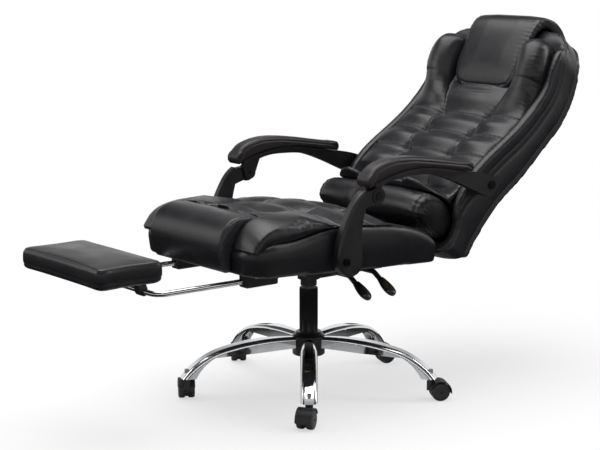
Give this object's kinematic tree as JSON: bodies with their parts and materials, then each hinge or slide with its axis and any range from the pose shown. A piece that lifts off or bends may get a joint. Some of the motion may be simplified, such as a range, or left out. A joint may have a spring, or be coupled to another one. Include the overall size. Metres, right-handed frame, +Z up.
{
  "type": "reclining office chair with footrest",
  "caption": "High-backed reclining office chair with linked arms, tufted cushions, head and lumbar pillows, a gas lift, a caster base and a pull-out footrest.",
  "frame": {"origin": "on the floor, on the gas lift's axis", "axes": "-Y the way a sitter faces, +X to the sitter's left, where the levers are, +Z up"},
  "size_m": [0.7261, 1.6141, 0.9814],
  "materials": {
    "black_leather": "soft-grained black leatherette with a satin sheen",
    "arm_pad_leather": "brownish black leatherette",
    "chromed_steel": "bright chrome plate",
    "black_steel": "black powder coat",
    "zinc_steel": "zinc plate",
    "black_nylon": "fine moulded texture",
    "caster_wheel": "hard nylon tread",
    "arm_plastic": "satin moulded nylon",
    "plywood": "bare plywood"
  },
  "bodies": {
    "base": {"base_hub": "black_steel", "base_leg_1": "chromed_steel", "base_leg_2": "chromed_steel", "base_leg_3": "chromed_steel", "base_leg_4": "chromed_steel", "base_leg_5": "chromed_steel", "column_tube": "black_steel", "column_bush": "black_nylon", "thrust_bearing": "zinc_steel", "caster_1_stem": "zinc_steel", "caster_2_stem": "zinc_steel", "caster_3_stem": "zinc_steel", "caster_4_stem": "zinc_steel", "caster_5_stem": "zinc_steel"},
    "piston": {"piston_rod": "zinc_steel"},
    "seat": {"gas_cylinder": "chromed_steel", "mechanism_plate": "black_steel", "mechanism_bolts": "zinc_steel", "recline_pin": "zinc_steel", "seat_board": "plywood", "seat_base": "black_leather", "seat_pillow": "black_leather", "seat_apron": "black_leather", "arm_plates": "zinc_steel", "upright_bolts": "zinc_steel", "footrest_guides": "black_nylon"},
    "back": {"back_bracket": "black_steel", "back_bracket_bolts": "zinc_steel", "back_board": "plywood", "back_base": "black_leather", "back_pillow": "black_leather", "head_pillow": "black_leather", "lumbar_pillow": "black_leather", "arm_screws": "zinc_steel"},
    "height_lever": {"height_lever": "black_steel", "height_lever_grip": "black_nylon"},
    "recline_lever": {"recline_lever": "black_steel", "recline_lever_grip": "black_nylon"},
    "left_upright": {"left_upright": "arm_plastic", "left_knuckle_pin": "zinc_steel"},
    "right_upright": {"right_upright": "arm_plastic", "right_knuckle_pin": "zinc_steel"},
    "left_arm": {"left_arm_frame": "arm_plastic", "left_arm_pad": "arm_pad_leather"},
    "right_arm": {"right_arm_frame": "arm_plastic", "right_arm_pad": "arm_pad_leather"},
    "footrest_frame": {"footrest_frame": "chromed_steel"},
    "footrest_panel": {"footrest_pad": "black_leather", "footrest_saddles": "black_nylon"},
    "caster_1": {"caster_1_housing": "black_nylon"},
    "caster_1_wheels": {"caster_1_wheels": "caster_wheel"},
    "caster_2": {"caster_2_housing": "black_nylon"},
    "caster_2_wheels": {"caster_2_wheels": "caster_wheel"},
    "caster_3": {"caster_3_housing": "black_nylon"},
    "caster_3_wheels": {"caster_3_wheels": "caster_wheel"},
    "caster_4": {"caster_4_housing": "black_nylon"},
    "caster_4_wheels": {"caster_4_wheels": "caster_wheel"},
    "caster_5": {"caster_5_housing": "black_nylon"},
    "caster_5_wheels": {"caster_5_wheels": "caster_wheel"}
  },
  "joints": [
    {"name": "seat_swivel", "type": "hinge", "parent": "base", "child": "piston", "pos_m": [0, 0, 0.2], "axis": [0, 0, 1], "continuous": true},
    {"name": "seat_height", "type": "slide", "parent": "piston", "child": "seat", "axis": [0, 0, 1], "range_m": [0, 0.08]},
    {"name": "back_recline", "type": "hinge", "parent": "seat", "child": "back", "pos_m": [0, 0.165, 0.346], "axis": [1, 0, 0], "range_deg": [0, 31]},
    {"name": "height_lever_lift", "type": "hinge", "parent": "seat", "child": "height_lever", "pos_m": [0.069, 0.005, 0.341], "axis": [0, -1, 0], "range_deg": [0, 8], "stiffness_Nm_per_rad": 1.2},
    {"name": "recline_lever_lift", "type": "hinge", "parent": "seat", "child": "recline_lever", "pos_m": [0.069, 0.09, 0.341], "axis": [0, -1, 0], "range_deg": [0, 8], "stiffness_Nm_per_rad": 1.2},
    {"name": "footrest_slide", "type": "slide", "parent": "seat", "child": "footrest_frame", "axis": [0, 1, 0], "range_m": [0, 0.17]},
    {"name": "footrest_flip", "type": "hinge", "parent": "footrest_frame", "child": "footrest_panel", "pos_m": [0, -0.585, 0.368], "axis": [1, 0, 0], "range_deg": [0, 180]},
    {"name": "left_upright_tilt", "type": "hinge", "parent": "seat", "child": "left_upright", "pos_m": [0.277, -0.11, 0.41], "axis": [1, 0, 0], "range_deg": [0, 44]},
    {"name": "left_arm_tilt", "type": "hinge", "parent": "left_upright", "child": "left_arm", "pos_m": [0.277, 0, 0.566], "axis": [1, 0, 0], "range_deg": [-36.5, 0]},
    {"name": "right_upright_tilt", "type": "hinge", "parent": "seat", "child": "right_upright", "pos_m": [-0.277, -0.11, 0.41], "axis": [1, 0, 0], "range_deg": [0, 44]},
    {"name": "right_arm_tilt", "type": "hinge", "parent": "right_upright", "child": "right_arm", "pos_m": [-0.277, 0, 0.566], "axis": [1, 0, 0], "range_deg": [-36.5, 0]},
    {"name": "caster_1_swivel", "type": "hinge", "parent": "base", "child": "caster_1", "pos_m": [0.26572, -0.21212, 0.05], "axis": [0, 0, 1], "continuous": true},
    {"name": "caster_1_roll", "type": "hinge", "parent": "caster_1", "child": "caster_1_wheels", "pos_m": [0.27914, -0.23202, 0.025], "axis": [0.829, 0.5592, 0], "continuous": true},
    {"name": "caster_2_swivel", "type": "hinge", "parent": "base", "child": "caster_2", "pos_m": [0.28385, 0.18716, 0.05], "axis": [0, 0, 1], "continuous": true},
    {"name": "caster_2_roll", "type": "hinge", "parent": "caster_2", "child": "caster_2_wheels", "pos_m": [0.29585, 0.20795, 0.025], "axis": [-0.866, 0.5, 0], "continuous": true},
    {"name": "caster_3_swivel", "type": "hinge", "parent": "base", "child": "caster_3", "pos_m": [-0.09029, 0.32779, 0.05], "axis": [0, 0, 1], "continuous": true},
    {"name": "caster_3_roll", "type": "hinge", "parent": "caster_3", "child": "caster_3_wheels", "pos_m": [-0.08208, 0.35035, 0.025], "axis": [-0.9397, 0.342, 0], "continuous": true},
    {"name": "caster_4_swivel", "type": "hinge", "parent": "base", "child": "caster_4", "pos_m": [-0.33965, 0.01542, 0.05], "axis": [0, 0, 1], "continuous": true},
    {"name": "caster_4_roll", "type": "hinge", "parent": "caster_4", "child": "caster_4_wheels", "pos_m": [-0.35955, 0.02884, 0.025], "axis": [-0.5592, -0.829, 0], "continuous": true},
    {"name": "caster_5_swivel", "type": "hinge", "parent": "base", "child": "caster_5", "pos_m": [-0.11963, -0.31826, 0.05], "axis": [0, 0, 1], "continuous": true},
    {"name": "caster_5_roll", "type": "hinge", "parent": "caster_5", "child": "caster_5_wheels", "pos_m": [-0.1402, -0.3059, 0.025], "axis": [-0.515, -0.8572, 0], "continuous": true}
  ],
  "couplings": [
    {"joint": "left_upright_tilt", "follows": "back_recline", "ratio": 1.4153},
    {"joint": "left_arm_tilt", "follows": "back_recline", "ratio": -1.17},
    {"joint": "right_upright_tilt", "follows": "back_recline", "ratio": 1.4153},
    {"joint": "right_arm_tilt", "follows": "back_recline", "ratio": -1.17}
  ]
}
